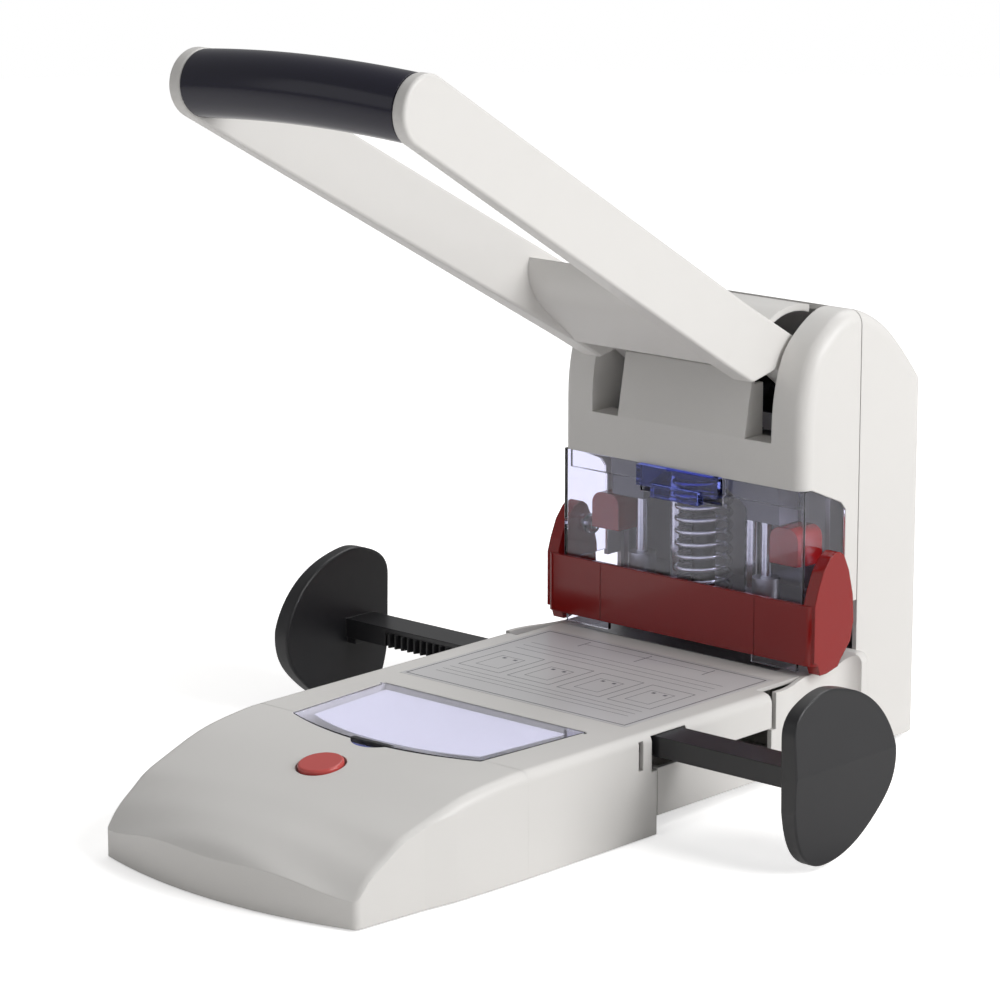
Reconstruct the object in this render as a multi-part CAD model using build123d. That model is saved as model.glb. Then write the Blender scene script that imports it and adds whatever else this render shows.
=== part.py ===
from build123d import *
import os
from math import atan2, ceil, cos, degrees, pi, radians, sin, tan

# Heavy-duty two-hole punch worked by a long lever.  Millimetres; X to the operator's right,
# Y from the nose to the tower, Z up.  The desk is z = 0, and the origin is the middle of the footprint.

# ---------------------------------------------------------------- driving dimensions
TABLE_LENGTH = 325.0        # nose edge to the front face of the tower
TOWER_DEPTH = 101.0         # front face to rear face of the tower
NOSE_Y = -(TABLE_LENGTH + TOWER_DEPTH) / 2
TOWER_Y = NOSE_Y + TABLE_LENGTH
REAR_Y = TOWER_Y + TOWER_DEPTH

WALL = 2.5                  # moulded shells
FIT = 0.3                   # running clearance between moulded pieces
PIN_FIT = 0.05              # radial clearance of a pin or shaft in its bore
SEAM = 0.6                  # gap between two shells that butt

# base
BASE_HALF = 87.0            # half width of nose and tray at the rear
NOSE_FRONT_HALF = 79.0      # half width of the nose at its front corners
NOSE_BOW = 12.5             # how far the middle of the front edge stands ahead of its corners
NOSE_CORNER_R = 4.0
NOSE_LENGTH = 205.5         # nose edge to the step where the tray begins
NOSE_FLOOR_GAP = 1.0        # desk to the nose skirt
NOSE_RISE = [(0.0, 20.0, 3.0), (3.0, 25.0, 6.0), (9.0, 29.0, 11.0), (16.0, 32.3, 19.5), (24.0, 35.2, 26.5),
             (36.0, 38.9, 34.0), (52.0, 42.9, 40.0), (72.0, 47.0, 46.0), (90.0, 49.6, 49.2),
             (104.0, 50.7, 50.5), (116.0, 51.0, 50.9)]  # from the nose edge: height in the middle, at the sides
TABLE_Z = 51.0              # top of the paper table
TABLE_T = 2.0
EDGE_R = 5.0                # rounding of the long top edges
TRAY_BOTTOM = 10.0
TRAY_LIP_Z = 33.0           # top of the tray wall under the flaps
WAIST_FROM = 27.0           # ahead of the tower the base draws in to the waist
WAIST_HALF = 79.0
EAR_FROM = 36.0             # front of the ears, behind the tower's front face
EAR_T = 5.0
EAR_IN = 66.0
EAR_Z = 56.5
EAR_R = 5.0
EAR_SWEEP = 9.0             # hollow sweep from the waist out to the ear
SHOULDER_IN = 62.3
PLATE_T = 3.0
PLATE_Z = 7.0               # underside of the steel base plate
PLATE_HALF = 72.0
PILLAR_X = 40.0             # screw pillars of the housing
FOOT_R = 9.0
FOOT_X = 56.0
FOOT_FRONT = 32.0           # foot centres from nose edge and from the rear
FOOT_REAR = 26.0

# compartment lid
LID_REAR = 181.5            # rear edge, from the nose edge
LID_LENGTH = 67.5           # rear edge to the front corners
LID_BOW = 11.5
LID_HALF_REAR = 64.0
LID_HALF_FRONT = 59.5
LID_T = 2.4
LID_PROUD = 0.2
LID_PIN_R = 1.2
FINGER_R = 13.5             # finger recess ahead of the lid
FINGER_AHEAD = 5.5
FINGER_Z = 36.0
CARD_T = 0.4                # blank card under the lid
CARD_MARGIN = 7.0
TUB_FLOOR_Z = 27.0

# push button
BUTTON_FROM_NOSE = 72.0
BUTTON_R = 10.8
BUTTON_RIM = 1.1            # ring gap round the button
BUTTON_TILT = 9.5           # the button lies square to the sloping nose
BUTTON_PROUD = 1.2
BUTTON_STEM_R = 5.0
BUTTON_H = 11.0
BUTTON_TRAVEL = 2.5
BUTTON_Z = 47.3             # nose surface at the button

# table label
LABEL_FROM = 200.0          # from the nose edge
LABEL_LENGTH = 110.0
LABEL_HALF = 72.0
LABEL_T = 0.5

# side gauges
GAUGE_PINION_Y = 243.5      # pinion axis from the nose edge
GAUGE_MODULE = 1.4
GAUGE_TEETH = 28
GAUGE_BAR_W = 19.6
GAUGE_BAR_H = 9.8
GAUGE_BAR_Z = 38.9          # underside of the bars
GAUGE_REACH = 170.0         # inner face of a paddle from the middle
GAUGE_OVERLAP = 12.0        # bar past the pinion axis
GAUGE_FLANGE_T = 2.5        # flange that covers the rack teeth
GAUGE_TRAVEL = 65.0
PADDLE_T = 9.5
PADDLE_INNER_R = 1.2        # rounding of the inner and outer rims
PADDLE_OUTER_R = 0.8
PADDLE_FRONT = 22.3         # egg outline, from the middle of the bar
PADDLE_REAR = 52.5
PADDLE_TOP = 41.2
PADDLE_BOTTOM = 40.6
PADDLE_CREASE = 2.4         # how far the crease stands proud of the edges
WINDOW_SIDE = 2.7           # window past each side of a bar
WINDOW_Z = 34.0
SLIT_W = 3.2
NOTCH_LENGTH = 26.0         # notch in the tray wall under the rear of each flap
NOTCH_Z = 21.0
FLAP_LENGTH = 64.0

# tower
TOWER_HALF = 77.0
TOWER_BOTTOM = 4.0
TOWER_TOP = 225.5
TOWER_ARCH = [(0.0, 57.5), (2.2, 35.5), (9.5, 17.5), (22.0, 6.5), (38.0, 0.0), (54.0, 3.5), (71.0, 14.0),
              (88.0, 31.0), (101.0, 47.0)]  # behind the front face, below the top
TOWER_SEAM = 44.0           # seam behind the front face
TOWER_REAR_R = 15.0
TOWER_EDGE_R = 7.0
CHEEK_INNER = 57.0
PANEL_LEAN = 10.5           # lean of the panel above the slot bottoms, degrees
PANEL_TOP = 196.0
SLOT_INNER = 40.4
SLOT_BOTTOM = 163.5
SLOT_DEEP = 14.0            # walls and floor of the slots, behind the panel
GUARD_TOP = 142.0
THROAT_TOP = 81.0           # roof of the side opening for the paper

# punching gear
PUNCH_PITCH = 80.0          # standard two-hole spacing
PUNCH_R = 3.0
PUNCH_BACK = 20.0           # punch line behind the tower's front face
PUNCH_Y = TOWER_Y + PUNCH_BACK
PAPER_GAP = 23.0            # table to stripper plate
STRIPPER_T = 4.0
STRIPPER_Z = TABLE_Z + PAPER_GAP
GUIDE_BOSS_H = 13.0
GUIDE_BOSS_R = 7.0
DIE_T = 8.0
DIE_ENTRY = 1.6             # how far a punch enters the die
SPRING_R = 13.5             # mean radius of the return spring
SPRING_WIRE_R = 1.2
SPRING_TURNS = 9
SPRING_LENGTH = 59.0
POST_R = 6.0
POST_ENTRY = 5.0            # how far the post enters the hub when the punches are down
HUB_R = 15.2
HUB_H = 14.0
ARM_H = 13.0
ARM_DEPTH_Y = 15.0
CLIP_OUT = 66.0             # outer end of the punch clips
CLIP_IN = 48.5
CLIP_H = 18.5
CLIP_W = 17.0
CLIP_TRAVEL = 5.0
PUNCH_BLOCK_DROP = 16.0     # holder under the end of each arm
ROD_X = 24.0
ROD_BACK = 9.0
ROD_R = 4.0
ROD_TOP = 160.0
SECTOR_MODULE = 2.0
SECTOR_TEETH_ROUND = 42     # teeth that a whole wheel would have
SECTOR_T = 11.0
RACK_AHEAD = 4.6            # rack pitch line ahead of the punch line
RACK_BODY = 3.2
BACKLASH = 0.45

# frames and pivot
FRAME_X = 62.0
FRAME_T = 3.0
SHAFT_R = 6.0
SHAFT_HALF = 69.0
BUSH_FLANGE_R = 10.0
SECTOR_R = SECTOR_MODULE * SECTOR_TEETH_ROUND / 2
PIVOT_Y = PUNCH_Y - RACK_AHEAD + SECTOR_R
PIVOT_Z = 174.5

# lever
LEVER_LENGTH = 360.0        # pivot to the middle of the grip
LEVER_REST = 29.4           # arms above the horizontal at rest, degrees
LEVER_TRAVEL = 34.0         # degrees of the working stroke
ARM_DEPTH = 32.4            # height of the arms across their length
ARM_T_ROOT = 13.0
ARM_T_FRONT = 7.5
ARM_OUT_ROOT = 54.5         # outer faces at the root
ARM_OUT_FRONT = 72.6        # outer faces at the grip
ARM_STRAIGHT = 93.0         # straight stretch at the root before the arms splay
ARM_NOTCH = 12.5            # relief under the root, which passes the slots
ARM_EDGE_R = 1.6
GRIP_R = 15.5
GRIP_BOW_U = 4.0
GRIP_BOW_V = 1.5
GRIP_ROD_R = 5.0
HOOD_HALF = 47.0
HOOD_T = 3.0

# guard and hold-down bar
GUARD_T = 2.0
GUARD_BOTTOM = 84.0
GUARD_SET = 1.0             # guard behind the tower's front face
GUARD_SIDE_LENGTH = 32.5
GUARD_LIP = 9.0
GUARD_DROP = 9.6            # fall of the side top edge towards the rear
GUARD_TRAVEL = 35.0
LATCH_HALF = 26.0
LATCH_H = 10.5
LATCH_DEEP = 3.6
LATCH_LIP_HALF = 15.0
LATCH_TRAVEL = 2.5
BAR_TOP = 87.0
BAR_BOTTOM = 57.0
BAR_T = 2.4
BAR_CORNER_R = 5.0
BAR_RETURN = 5.0            # how far the front wraps round to the end plates
BAR_HALF = BASE_HALF - 1.0
BAR_SEAM_X = 49.4           # mould seams in the bar
BAR_SEAM_W = 0.35
BAR_AHEAD = 2.0             # bar ahead of the tower's front face
BAR_PIVOT_BACK = 20.0
BAR_PIVOT_Z = 100.0
BAR_SWING = 45.0
END_PLATE_T = 7.0
END_PLATE_TOP = 112.0
END_PLATE_FOOT = 52.0
PAD_IN = 46.0
PAD_OUT = 74.0

# chip drawer
DRAWER_HALF_Y = 15.0
DRAWER_END = 60.0
DRAWER_TOP = 41.0
DRAWER_TRAVEL = 120.0

# screws of the base plate and the rear shell
BASE_SCREW_R = 4.0
BASE_SCREW_H = 2.4
BASE_SCREW_BACK = 60.0      # rear pair, behind the tower's front face
PILLAR_FROM = (60.0, 190.0)  # front pairs, from the nose edge
SHELL_SCREW_X = TOWER_HALF - 27.0
SHELL_SCREW_LOW = 24.0
SHELL_SCREW_HIGH = PIVOT_Z - 24.5
SCREW_R = 3.6
SCREW_H = 1.8
SCREW_SINK = 2.4            # their seats lie this deep in the rear face

EPS = 0.01


# ---------------------------------------------------------------- helpers
def box(x0, x1, y0, y1, z0, z1):
    """A box between two corners."""
    return Pos((x0 + x1) / 2, (y0 + y1) / 2, (z0 + z1) / 2) * Box(abs(x1 - x0), abs(y1 - y0), abs(z1 - z0))


def rod_z(x, y, z0, z1, radius):
    """An upright cylinder."""
    return Pos(x, y, (z0 + z1) / 2) * Cylinder(radius, z1 - z0)


def rod_x(x0, x1, y, z, radius):
    """A cylinder along X."""
    return Pos((x0 + x1) / 2, y, z) * Rot(0, 90, 0) * Cylinder(radius, x1 - x0)


def rod_y(x, y0, y1, z, radius):
    """A cylinder along Y."""
    return Pos(x, (y0 + y1) / 2, z) * Rot(90, 0, 0) * Cylinder(radius, y1 - y0)


def slab_x(outline, x0, x1):
    """A (y, z) outline, of points or of edges' points, extruded from x0 to x1."""
    face = make_face(Polyline(*[(x0, y, z) for y, z in outline], close=True))
    return extrude(face, amount=x1 - x0, dir=(1, 0, 0))


def slab_z(outline, z0, z1):
    """An (x, y) outline extruded from z0 to z1."""
    face = make_face(Polyline(*[(x, y, z0) for x, y in outline], close=True))
    return extrude(face, amount=z1 - z0, dir=(0, 0, 1))


def mirrored(solid):
    """The same piece on the other side of the machine."""
    return mirror(solid, about=Plane.YZ)


def soften(solid, edges, radius):
    """Round the given edges, or leave them sharp where none are given."""
    return fillet(edges, radius) if edges else solid


# ---------------------------------------------------------------- base
def nose_ring(y, crown, shoulder, half, corner):
    """Cross-section of the nose: upright sides, rounded corners and a crowned top."""
    lean = 2 * atan2(crown - shoulder, half - corner)
    centre_x, centre_z = half - corner, shoulder - corner
    top_x, top_z = centre_x + corner * sin(lean), centre_z + corner * cos(lean)
    turn = (pi / 2 - lean) / 2
    mid_x, mid_z = centre_x + corner * cos(turn), centre_z + corner * sin(turn)
    floor = -40.0
    edges = [Line((-half, y, floor), (half, y, floor)),
             Line((half, y, floor), (half, y, centre_z)),
             ThreePointArc((half, y, centre_z), (mid_x, y, mid_z), (top_x, y, top_z)),
             ThreePointArc((top_x, y, top_z), (0, y, crown), (-top_x, y, top_z)),
             ThreePointArc((-top_x, y, top_z), (-mid_x, y, mid_z), (-half, y, centre_z)),
             Line((-half, y, centre_z), (-half, y, floor))]
    return make_face(edges)


def side_x(y):
    """Half width of the nose at a distance y along it."""
    reach = NOSE_Y + 120.0
    if y >= reach:
        return BASE_HALF
    share = (reach - y) / 120.0
    return BASE_HALF - (BASE_HALF - NOSE_FRONT_HALF) * share ** 1.7


def nose_plan(inset, y_end):
    """Plan of the nose: a bowed front edge with rounded corners, and straight sides outside it."""
    half = NOSE_FRONT_HALF + 0.7 - inset
    corner_y = NOSE_Y + NOSE_BOW + inset
    bow = ThreePointArc((half, corner_y), (0, NOSE_Y + inset), (-half, corner_y))
    wide = BASE_HALF + 20
    far = y_end + 20
    face = make_face([bow, Polyline((-half, corner_y), (-half - 3, corner_y + 40), (-wide, far), (wide, far),
                                    (half + 3, corner_y + 40), (half, corner_y))])
    front = [v for v in face.vertices() if v.Y < corner_y + 1]
    return fillet(front, NOSE_CORNER_R - inset / 2)


def nose_block(inset):
    """Solid nose, smaller by the inset all round."""
    roof = inset * TABLE_T / WALL
    corner = EDGE_R - inset / 2
    rings = []
    for dy, crown, shoulder in NOSE_RISE:
        y = NOSE_Y + dy
        rings.append(nose_ring(y + inset, crown - roof, shoulder - roof, side_x(y) - inset, corner))
    hull = loft(rings)
    bottom = -EPS if inset else NOSE_FLOOR_GAP
    flat_y = NOSE_Y + NOSE_RISE[-1][0] + inset
    end_y = NOSE_Y + NOSE_LENGTH
    table = box(-BASE_HALF + inset, BASE_HALF - inset, flat_y - EPS, end_y, bottom, TABLE_Z - roof)
    table = fillet(table_edges(table), corner)
    reach = Pos(0, 0, bottom) * extrude(nose_plan(inset, end_y), amount=TABLE_Z + 5)
    return (hull & reach) + table


def table_edges(block):
    """The two long top edges of a block."""
    top = block.bounding_box().max.Z
    return [e for e in block.edges().filter_by(Axis.Y) if e.center().Z > top - 0.1]


def lid_plan(grow):
    """Plan outline of the lid: a trapezoid with a bowed front edge."""
    rear = NOSE_Y + LID_REAR + grow
    front = NOSE_Y + LID_REAR - LID_LENGTH - grow
    edges = [Line((LID_HALF_FRONT + grow, front), (LID_HALF_REAR + grow, rear)),
             Line((LID_HALF_REAR + grow, rear), (-LID_HALF_REAR - grow, rear)),
             Line((-LID_HALF_REAR - grow, rear), (-LID_HALF_FRONT - grow, front)),
             ThreePointArc((-LID_HALF_FRONT - grow, front), (0, front - LID_BOW),
                           (LID_HALF_FRONT + grow, front))]
    return make_face(edges)


def lid_slab(grow, z0, z1):
    """The lid's plan extruded between two heights."""
    return Pos(0, 0, z0) * extrude(lid_plan(grow), amount=z1 - z0)


PINION_Y = NOSE_Y + GAUGE_PINION_Y
PINION_R = GAUGE_MODULE * GAUGE_TEETH / 2
BAR_FRONT_Y = PINION_Y - PINION_R - GAUGE_BAR_W
TABLE_END_Y = TOWER_Y - FIT
FLAP_END_Y = BAR_FRONT_Y + GAUGE_BAR_W + WINDOW_SIDE + FLAP_LENGTH
LID_AXIS_Y = NOSE_Y + LID_REAR - 1.8
LID_AXIS_Z = TABLE_Z + LID_PROUD - LID_T / 2


def front_housing():
    """Nose, paper table and side flaps in one moulding, with the compartment under the lid."""
    outer = nose_block(0.0)
    step_y = NOSE_Y + NOSE_LENGTH
    table = box(-BASE_HALF, BASE_HALF, step_y - EPS, FLAP_END_Y, WINDOW_Z, TABLE_Z)
    outer += fillet(table_edges(table), EDGE_R)
    under = box(-BASE_HALF + WALL, BASE_HALF - WALL, step_y - 1, FLAP_END_Y + 1, -1, TABLE_Z - TABLE_T)
    inner = nose_block(WALL) + fillet(table_edges(under), EDGE_R - WALL / 2)
    shell = outer - inner
    shell += box(-TOWER_HALF, TOWER_HALF, FLAP_END_Y - 1, TABLE_END_Y, TABLE_Z - TABLE_T, TABLE_Z)
    # compartment: a tub that hangs from the table
    tub = lid_slab(WALL, TUB_FLOOR_Z - WALL, TABLE_Z - TABLE_T / 2) & nose_block(WALL / 2)
    tub -= lid_slab(FIT, TUB_FLOOR_Z, TABLE_Z + 5)
    shell -= lid_slab(FIT, TABLE_Z - 12, TABLE_Z + 5)
    shell += tub
    front_y = NOSE_Y + LID_REAR - LID_LENGTH - LID_BOW
    finger = rod_z(0, front_y - FINGER_AHEAD + FINGER_R, FINGER_Z, TABLE_Z + 5, FINGER_R)
    cup = rod_z(0, front_y - FINGER_AHEAD + FINGER_R, FINGER_Z - WALL, TABLE_Z - 3, FINGER_R + WALL)
    keep = box(-50, 50, front_y - 40, front_y + FIT, 0, 100)
    shell = shell + (cup & keep & outer) - finger
    lid_pin_x = LID_HALF_REAR + 1.6
    shell -= rod_x(-lid_pin_x, lid_pin_x, LID_AXIS_Y, LID_AXIS_Z, LID_PIN_R + PIN_FIT)
    # button well
    well = button_frame() * Cylinder(BUTTON_R + BUTTON_RIM + WALL, BUTTON_H + 3,
                                     align=(Align.CENTER, Align.CENTER, Align.MAX))
    hole = button_frame() * Cylinder(BUTTON_R + BUTTON_RIM, 40)
    stem = button_frame() * Cylinder(BUTTON_STEM_R + FIT, 80)
    floor = button_frame() * Pos(0, 0, -BUTTON_H - 3) * Cylinder(
        BUTTON_R + BUTTON_RIM, WALL, align=(Align.CENTER, Align.CENTER, Align.MIN))
    shell = (shell + (well & outer)) - hole + (floor - stem)
    # pillars that stand on the base plate
    for x, y in pillar_places():
        pillar = rod_z(x, y, PLATE_Z + PLATE_T, TABLE_Z - 1, 5.0) & outer
        shell += pillar
    # label recess
    label_y = NOSE_Y + LABEL_FROM
    shell -= box(-LABEL_HALF - FIT, LABEL_HALF + FIT, label_y - FIT, label_y + LABEL_LENGTH + FIT,
                 TABLE_Z - LABEL_T, TABLE_Z + 1)
    # windows for the gauge bars: the right bar runs ahead of the pinion, the left one behind it
    for side in (1, -1):
        bar_y = gauge_bar_y(side)
        window = box(BASE_HALF - EDGE_R - WALL / 2, BASE_HALF + 1, bar_y - WINDOW_SIDE,
                     bar_y + GAUGE_BAR_W + WINDOW_SIDE, WINDOW_Z - 2, TABLE_Z - TABLE_T + EPS)
        shell -= window if side > 0 else mirrored(window)
        slit_y = BAR_FRONT_Y - WINDOW_SIDE - 6 - SLIT_W
        slit = box(BASE_HALF - WALL - 1, BASE_HALF + 1, slit_y, slit_y + SLIT_W, WINDOW_Z, TABLE_Z - 3)
        shell -= slit if side > 0 else mirrored(slit)
    return shell


def pillar_places():
    """Screw pillars of the front housing."""
    return [(x, y) for x in (-PILLAR_X, PILLAR_X) for y in [NOSE_Y + far for far in PILLAR_FROM]]


def gauge_bar_y(side):
    """Front edge of a gauge bar: right is ahead of the pinion, left behind it."""
    return PINION_Y - PINION_R - GAUGE_BAR_W if side > 0 else PINION_Y + PINION_R


def button_frame():
    """Frame on the nose surface at the button, tilted with the slope."""
    return Pos(0, NOSE_Y + BUTTON_FROM_NOSE, BUTTON_Z) * Rot(BUTTON_TILT, 0, 0)


def push_button():
    """Round red button with a stem that runs in the floor of its well."""
    cap = button_frame() * Pos(0, 0, BUTTON_PROUD) * Cylinder(
        BUTTON_R, BUTTON_H - BUTTON_TRAVEL - 1, align=(Align.CENTER, Align.CENTER, Align.MAX))
    top = cap.edges().sort_by(Axis.Z)[-1]
    cap = fillet(top, 1.2)
    stem = button_frame() * Pos(0, 0, -BUTTON_H - 5) * Cylinder(
        BUTTON_STEM_R, BUTTON_H, align=(Align.CENTER, Align.CENTER, Align.MIN))
    return cap + stem


def compartment_lid():
    """Clear lid, hinged on two stub pins at its rear corners."""
    top = TABLE_Z + LID_PROUD
    lid = lid_slab(0.0, top - LID_T, top)
    hinge = [e for e in lid.edges().filter_by(Axis.X) if e.center().Y > LID_AXIS_Y]
    lid = fillet(hinge, LID_T * 0.45)
    pin_x = LID_HALF_REAR + 1.4
    lid += rod_x(-pin_x, pin_x, LID_AXIS_Y, LID_AXIS_Z, LID_PIN_R)
    return lid


def lid_tab():
    """Tinted finger tab under the front edge of the lid."""
    tab_y = NOSE_Y + LID_REAR - LID_LENGTH - LID_BOW + 1.5
    low = TABLE_Z + LID_PROUD - LID_T
    return box(-FINGER_R + 1, FINGER_R - 1, tab_y, tab_y + 3, low - 6, low)


def lid_card():
    """Blank card held flat against the underside of the lid."""
    low = TABLE_Z + LID_PROUD - LID_T
    return lid_slab(-CARD_MARGIN, low - CARD_T, low)


def spare_punches():
    """Two spare punches that lie across the compartment."""
    pieces = []
    for i in (0, 1):
        y = NOSE_Y + LID_REAR - 22 - 20 * i
        z = TUB_FLOOR_Z + PUNCH_R + 2.5
        pieces.append(rod_x(-30, 26, y, z, PUNCH_R) + rod_x(26, 31, y, z, PUNCH_R + 2.5))
    return pieces


def table_label():
    """Thin printed plate let into the table."""
    y = NOSE_Y + LABEL_FROM
    return box(-LABEL_HALF, LABEL_HALF, y, y + LABEL_LENGTH, TABLE_Z - LABEL_T, TABLE_Z)


def tray_plan(inset):
    """Plan of the tray's right half: straight, drawn in to the waist, then swept out to the ear."""
    y0 = NOSE_Y + NOSE_LENGTH + SEAM + inset
    ear_y = TOWER_Y + EAR_FROM
    full, waist = BASE_HALF - inset, WAIST_HALF - inset
    sweep = 0.3 * EAR_SWEEP
    edges = [Polyline((0, y0), (full, y0), (full, TOWER_Y - WAIST_FROM)),
             Spline((full, TOWER_Y - WAIST_FROM), ((full + waist) / 2, TOWER_Y - 10), (waist, TOWER_Y + 10),
                    tangents=[(0, 1), (0, 1)]),
             Line((waist, TOWER_Y + 10), (waist, ear_y - EAR_SWEEP)),
             ThreePointArc((waist, ear_y - EAR_SWEEP), (waist + sweep, ear_y - sweep), (full, ear_y)),
             Polyline((full, ear_y), (full, ear_y + EAR_T - inset), (0, ear_y + EAR_T - inset), (0, y0))]
    return make_face(edges)


def base_tray():
    """Lower tray behind the nose, with shoulders beside the die, two ears and the pinion boss."""
    y0 = NOSE_Y + NOSE_LENGTH + SEAM
    ear_y = TOWER_Y + EAR_FROM
    rear_y = ear_y + EAR_T
    deck_y = FLAP_END_Y + SLIT_W
    solid = Pos(0, 0, TRAY_BOTTOM) * extrude(tray_plan(0.0), amount=EAR_Z - TRAY_BOTTOM)
    hollow = Pos(0, 0, TRAY_BOTTOM + WALL) * extrude(tray_plan(WALL), amount=EAR_Z)
    tall = solid - hollow
    tall -= box(-1, BASE_HALF + 1, y0 - 1, deck_y, TRAY_LIP_Z, EAR_Z + 1)
    deck = (solid & box(SHOULDER_IN, BASE_HALF, TABLE_END_Y + FIT, ear_y + 1, TABLE_Z - TABLE_T, TABLE_Z))
    ear = solid & box(EAR_IN, BASE_HALF, ear_y - EAR_SWEEP, rear_y, TABLE_Z - TABLE_T, EAR_Z)
    ear_cut = [(ear_y - EAR_SWEEP - 1, TABLE_Z), (ear_y - EAR_SWEEP, TABLE_Z), (ear_y, EAR_Z),
               (ear_y, EAR_Z + 2), (ear_y - EAR_SWEEP - 1, EAR_Z + 2)]
    ear -= slab_x(ear_cut, 0, BASE_HALF + 1)
    tall -= box(-1, BASE_HALF + 1, deck_y - 1, ear_y - EAR_SWEEP, TABLE_Z, EAR_Z + 1)
    tall -= slab_x(ear_cut, -1, BASE_HALF + 1)
    tall -= box(-1, EAR_IN, ear_y - 1, rear_y + 1, TABLE_Z - DIE_T - FIT, EAR_Z + 1)
    half = tall + deck + ear
    corner = [e for e in half.edges().filter_by(Axis.Y) if e.center().Z > EAR_Z - 0.1
              and e.center().X > BASE_HALF - 0.1]
    half = soften(half, corner, EAR_R)
    # notch under the rear of the flap
    notch_y = FLAP_END_Y
    notch = [(notch_y, TRAY_LIP_Z + 1), (notch_y - NOTCH_LENGTH, TRAY_LIP_Z + 1),
             (notch_y - 0.4 * NOTCH_LENGTH, NOTCH_Z), (notch_y, NOTCH_Z)]
    half -= slab_x(notch, BASE_HALF - WALL - 1, BASE_HALF + 1)
    tray = half + mirrored(half)
    # bearers under the gauge bars and the boss of the pinion
    for x in (-64.0, 64.0):
        tray += box(x - 1.5, x + 1.5, y0 + 1, PINION_Y + PINION_R + GAUGE_BAR_W,
                    TRAY_BOTTOM + WALL - EPS, GAUGE_BAR_Z - FIT)
    tray += rod_z(0, PINION_Y, TRAY_BOTTOM + WALL - EPS, GAUGE_BAR_Z - FIT, 9.0)
    tray += rod_z(0, PINION_Y, GAUGE_BAR_Z - 1, GAUGE_BAR_Z + 6, 3.0)
    # side opening for the chip drawer, on the left
    tray -= box(-BASE_HALF - 1, -WAIST_HALF + WALL + 5, DRAWER_Y - DRAWER_HALF_Y - FIT,
                DRAWER_Y + DRAWER_HALF_Y + FIT, TRAY_BOTTOM + WALL, DRAWER_TOP + FIT)
    return tray


DRAWER_Y = PUNCH_Y - 6.0


def chip_drawer():
    """Drawer under the die that slides out to the left."""
    z0 = TRAY_BOTTOM + WALL + FIT
    y0 = DRAWER_Y - DRAWER_HALF_Y
    y1 = DRAWER_Y + DRAWER_HALF_Y
    body = box(-WAIST_HALF, DRAWER_END, y0, y1, z0, DRAWER_TOP)
    grip = box(-WAIST_HALF - 2, -WAIST_HALF + 1, DRAWER_Y - 12, DRAWER_Y + 12, z0 + 3, z0 + 6)
    return body + grip - box(-WAIST_HALF + WALL, DRAWER_END - WALL, y0 + WALL, y1 - WALL, z0 + WALL,
                             DRAWER_TOP + 1)


def base_plate():
    """Steel plate under the whole machine."""
    plate = box(-PLATE_HALF, PLATE_HALF, NOSE_Y + 20, REAR_Y - 6, PLATE_Z, PLATE_Z + PLATE_T)
    corners = plate.edges().filter_by(Axis.Z)
    return fillet(corners, 10)


def foot_places():
    """Centres of the four feet."""
    return [(x, y) for x in (-FOOT_X, FOOT_X) for y in (NOSE_Y + FOOT_FRONT, REAR_Y - FOOT_REAR)]


def rubber_feet():
    """Four rubber feet under the base plate."""
    return [rod_z(x, y, 0, PLATE_Z, FOOT_R) for x, y in foot_places()]


# ---------------------------------------------------------------- side gauges
def rack_teeth(module, count, height, phase):
    """Tooth profile along a rack: (along, out) points, pitch line at out = 0."""
    pitch = pi * module
    half = (pitch / 2 - BACKLASH) / 2
    lean = tan(radians(20))
    add, ded = 0.85 * module, 1.15 * module
    points = []
    for i in range(count):
        c = phase + i * pitch
        points += [(c - half - lean * ded, -ded), (c - half + lean * add, add),
                   (c + half - lean * add, add), (c + half + lean * ded, -ded)]
    return points


def wheel_profile(module, teeth_round, first, count):
    """Tooth profile round a wheel: polar points from the first tooth on, angles in degrees."""
    radius = module * teeth_round / 2
    pitch = 360.0 / teeth_round
    half = degrees((pi * module / 2 - BACKLASH) / 2 / radius)
    lean = degrees(tan(radians(20)) * module / radius)
    points = []
    for i in range(count):
        c = first + i * pitch
        points += [(c - half - 1.1 * lean, radius - 1.15 * module), (c - half, radius),
                   (c - half + 0.95 * lean, radius + 0.85 * module),
                   (c + half - 0.95 * lean, radius + 0.85 * module), (c + half, radius),
                   (c + half + 1.1 * lean, radius - 1.15 * module)]
    return [(r * cos(radians(a)), r * sin(radians(a))) for a, r in points]


def paddle_outline(y, z):
    """Egg outline of a paddle about the middle of its bar, straight edge to the front."""
    top, bottom, front, rear = PADDLE_TOP, PADDLE_BOTTOM, PADDLE_FRONT, PADDLE_REAR
    lower = [(-front + 0.5, -12.0), (-0.87 * front, -0.57 * bottom), (-0.64 * front, -0.82 * bottom),
             (-0.2 * front, -0.985 * bottom), (0.14 * rear, -bottom), (0.38 * rear, -0.92 * bottom),
             (0.78 * rear, -0.57 * bottom), (0.96 * rear, -0.27 * bottom), (rear, 0.03 * top),
             (0.925 * rear, 0.36 * top), (0.74 * rear, 0.67 * top), (0.53 * rear, 0.85 * top),
             (0.25 * rear, 0.97 * top), (0.06 * rear, top), (-0.36 * front, 0.94 * top),
             (-0.82 * front, 0.8 * top), (-front, 0.54 * top)]
    return [(y + dy, z + dz) for dy, dz in lower]


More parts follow.
